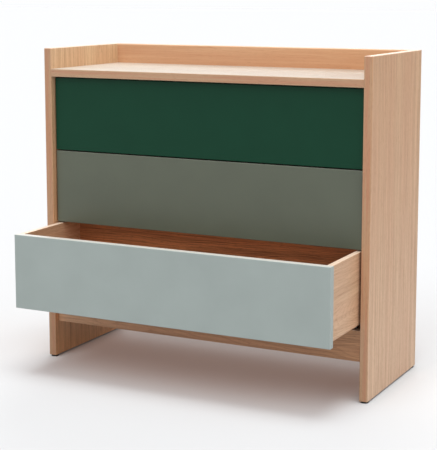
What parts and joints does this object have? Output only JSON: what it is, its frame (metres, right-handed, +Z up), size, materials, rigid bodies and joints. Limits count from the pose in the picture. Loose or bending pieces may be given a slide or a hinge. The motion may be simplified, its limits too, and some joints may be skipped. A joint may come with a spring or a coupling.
{
  "type": "chest of drawers",
  "caption": "Low oak chest with full-height side panels, a shelf-like top behind which a gallery rises, and inset lacquered drawers without handles; the lowest stands open.",
  "frame": {"origin": "on the floor, at the middle of the area covered with the lowest drawer pulled out as at rest", "axes": "+Z up; the fronts face -Y; +X to the right as one looks at the fronts"},
  "size_m": [1, 0.589, 0.91],
  "materials": {
    "oiled_oak": "sanded and oiled, open grain",
    "drawer_oak": "sanded and thinly varnished",
    "oak_veneered_board": "veneered, matt",
    "dark_green_lacquer": "satin lacquer on medium-density fibreboard",
    "grey_green_lacquer": "satin lacquer on medium-density fibreboard",
    "pale_sage_lacquer": "satin lacquer on medium-density fibreboard",
    "zinc_plated_steel": "bright zinc plating on rolled sheet",
    "grey_acetal": "moulded",
    "white_acetal": "moulded",
    "black_nylon": "moulded"
  },
  "bodies": {
    "carcass": {"side_panel_left": "oiled_oak", "side_panel_right": "oiled_oak", "top_panel": "oiled_oak", "back_gallery": "oiled_oak", "back_panel": "oak_veneered_board", "base_panel": "oak_veneered_board", "front_rail": "oiled_oak", "rear_rail": "oiled_oak", "floor_glides": "black_nylon", "carcass_screws": "zinc_plated_steel", "runner_fixed_upper_left": "zinc_plated_steel", "runner_fixed_upper_right": "zinc_plated_steel", "latch_housing_upper": "grey_acetal", "runner_fixed_middle_left": "zinc_plated_steel", "runner_fixed_middle_right": "zinc_plated_steel", "latch_housing_middle": "grey_acetal", "runner_fixed_lower_left": "zinc_plated_steel", "runner_fixed_lower_right": "zinc_plated_steel", "latch_housing_lower": "grey_acetal"},
    "upper_drawer": {"drawer_front_upper": "dark_green_lacquer", "drawer_side_upper_left": "drawer_oak", "drawer_side_upper_right": "drawer_oak", "drawer_back_upper": "drawer_oak", "drawer_base_upper": "oak_veneered_board", "runner_drawer_upper_left": "zinc_plated_steel", "runner_drawer_upper_right": "zinc_plated_steel", "runner_catches_upper": "grey_acetal"},
    "upper_runners": {"runner_middle_upper_left": "zinc_plated_steel", "runner_middle_upper_right": "zinc_plated_steel", "runner_shoes_upper": "white_acetal"},
    "upper_plunger": {"latch_plunger_upper": "white_acetal"},
    "middle_drawer": {"drawer_front_middle": "grey_green_lacquer", "drawer_side_middle_left": "drawer_oak", "drawer_side_middle_right": "drawer_oak", "drawer_back_middle": "drawer_oak", "drawer_base_middle": "oak_veneered_board", "runner_drawer_middle_left": "zinc_plated_steel", "runner_drawer_middle_right": "zinc_plated_steel", "runner_catches_middle": "grey_acetal"},
    "middle_runners": {"runner_middle_middle_left": "zinc_plated_steel", "runner_middle_middle_right": "zinc_plated_steel", "runner_shoes_middle": "white_acetal"},
    "middle_plunger": {"latch_plunger_middle": "white_acetal"},
    "lower_drawer": {"drawer_front_lower": "pale_sage_lacquer", "drawer_side_lower_left": "drawer_oak", "drawer_side_lower_right": "drawer_oak", "drawer_back_lower": "drawer_oak", "drawer_base_lower": "oak_veneered_board", "runner_drawer_lower_left": "zinc_plated_steel", "runner_drawer_lower_right": "zinc_plated_steel", "runner_catches_lower": "grey_acetal"},
    "lower_runners": {"runner_middle_lower_left": "zinc_plated_steel", "runner_middle_lower_right": "zinc_plated_steel", "runner_shoes_lower": "white_acetal"},
    "lower_plunger": {"latch_plunger_lower": "white_acetal"}
  },
  "joints": [
    {"name": "upper_drawer_slide", "type": "slide", "parent": "carcass", "child": "upper_drawer", "axis": [0, -1, 0], "range_m": [0, 0.293]},
    {"name": "upper_runner_slide", "type": "slide", "parent": "carcass", "child": "upper_runners", "axis": [0, -1, 0], "range_m": [0, 0.1465]},
    {"name": "upper_plunger_slide", "type": "slide", "parent": "carcass", "child": "upper_plunger", "axis": [0, 1, 0], "range_m": [0, 0.003], "stiffness_N_per_m": 400},
    {"name": "middle_drawer_slide", "type": "slide", "parent": "carcass", "child": "middle_drawer", "axis": [0, -1, 0], "range_m": [0, 0.293]},
    {"name": "middle_runner_slide", "type": "slide", "parent": "carcass", "child": "middle_runners", "axis": [0, -1, 0], "range_m": [0, 0.1465]},
    {"name": "middle_plunger_slide", "type": "slide", "parent": "carcass", "child": "middle_plunger", "axis": [0, 1, 0], "range_m": [0, 0.003], "stiffness_N_per_m": 400},
    {"name": "lower_drawer_slide", "type": "slide", "parent": "carcass", "child": "lower_drawer", "axis": [0, -1, 0], "range_m": [-0.215, 0.078]},
    {"name": "lower_runner_slide", "type": "slide", "parent": "carcass", "child": "lower_runners", "axis": [0, -1, 0], "range_m": [-0.1075, 0.039]},
    {"name": "lower_plunger_slide", "type": "slide", "parent": "carcass", "child": "lower_plunger", "axis": [0, 1, 0], "range_m": [0, 0.003], "stiffness_N_per_m": 400}
  ],
  "couplings": [
    {"joint": "upper_runner_slide", "follows": "upper_drawer_slide", "ratio": 0.5},
    {"joint": "middle_runner_slide", "follows": "middle_drawer_slide", "ratio": 0.5},
    {"joint": "lower_runner_slide", "follows": "lower_drawer_slide", "ratio": 0.5}
  ]
}
